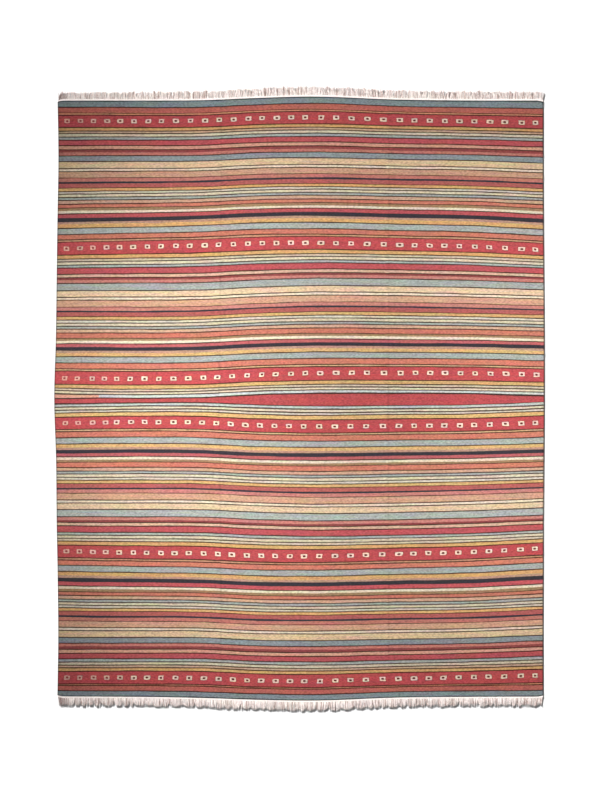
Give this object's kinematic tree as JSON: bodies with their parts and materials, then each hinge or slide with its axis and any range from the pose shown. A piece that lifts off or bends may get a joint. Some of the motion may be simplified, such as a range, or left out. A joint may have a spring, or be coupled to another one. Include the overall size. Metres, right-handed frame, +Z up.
{
  "type": "kilim rug",
  "caption": "Flat-woven striped kilim rug lying flat, with bands of small squares, a twined heading and a warp fringe along each short end.",
  "frame": {"origin": "on the floor, under the middle of the rug's bounding box", "axes": "+Z up, +Y along the warps and the rug's length towards its far fringe, +X across the rug along its stripes"},
  "size_m": [2.4503, 3.1294, 0.005],
  "materials": {
    "wool_weft": "weft-faced plain weave in striped wool: coral, crimson, gold, teal, cream, peach and navy",
    "cream_warp": "undyed cotton warp, plied and slightly fluffy"
  },
  "bodies": {
    "root": {"woven_field": "wool_weft", "fringe_far": "cream_warp", "fringe_near": "cream_warp"}
  },
  "joints": []
}
